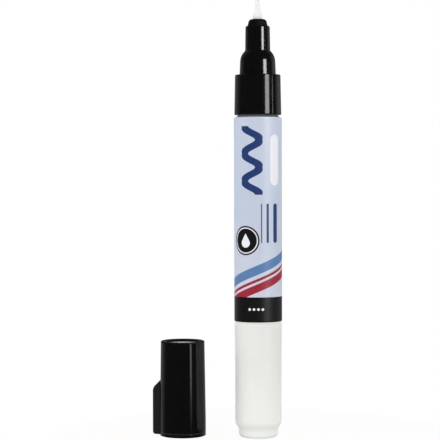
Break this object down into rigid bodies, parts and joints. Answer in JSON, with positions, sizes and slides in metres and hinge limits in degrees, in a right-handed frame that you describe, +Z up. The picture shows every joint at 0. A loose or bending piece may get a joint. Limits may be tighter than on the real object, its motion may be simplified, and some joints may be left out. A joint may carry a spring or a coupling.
{
  "type": "paint marker",
  "caption": "Valve-action paint marker with an extra-fine nib, stepped grip and printed barrel, standing on its tail beside its side-clip cap.",
  "frame": {"origin": "centre of the flat end of the marker's tail, which it stands on", "axes": "+Z up along the marker towards its nib, -Y towards the viewer of the picture, -X towards the cap that stands beside it"},
  "size_m": [0.0414, 0.0179, 0.1391],
  "materials": {
    "natural_plastic": "milky uncoloured polypropylene, satin",
    "printed_film": "printed plastic film, satin gloss, with a black band",
    "black_plastic": "black moulded polypropylene, polished",
    "nib_fibre": "bonded polyester fibre, dry and unused",
    "valve_plastic": "uncoloured moulded plastic",
    "spring_steel": "drawn stainless wire",
    "ball_steel": "polished stainless ball",
    "seal_rubber": "soft moulded rubber",
    "liner_plastic": "soft uncoloured polyethylene"
  },
  "bodies": {
    "marker": {"barrel": "natural_plastic", "label": "printed_film", "front_section": "black_plastic", "nib_collar": "black_plastic", "valve_housing": "valve_plastic", "valve_retainer": "valve_plastic", "valve_seal": "seal_rubber", "valve_spring": "spring_steel"},
    "nib_unit": {"nib": "nib_fibre", "valve_stem": "valve_plastic"},
    "ball_1": {"mixing_ball_1": "ball_steel"},
    "ball_2": {"mixing_ball_2": "ball_steel"},
    "cap": {"cap_shell": "black_plastic", "inner_cap": "liner_plastic"}
  },
  "joints": [
    {"name": "nib_press", "type": "slide", "parent": "marker", "child": "nib_unit", "axis": [0, 0, -1], "range_m": [0, 0.0018], "stiffness_N_per_m": 600, "deforming": ["valve_spring"]},
    {"name": "ball_1_travel", "type": "slide", "parent": "marker", "child": "ball_1", "axis": [0, 0, 1], "range_m": [0, 0.082]},
    {"name": "ball_2_travel", "type": "slide", "parent": "marker", "child": "ball_2", "axis": [0, 0, 1], "range_m": [0, 0.082]},
    {"name": "cap_lift", "type": "slide", "parent": "marker", "child": "cap", "axis": [0, 0, 1], "range_m": [0, 0.15]}
  ]
}
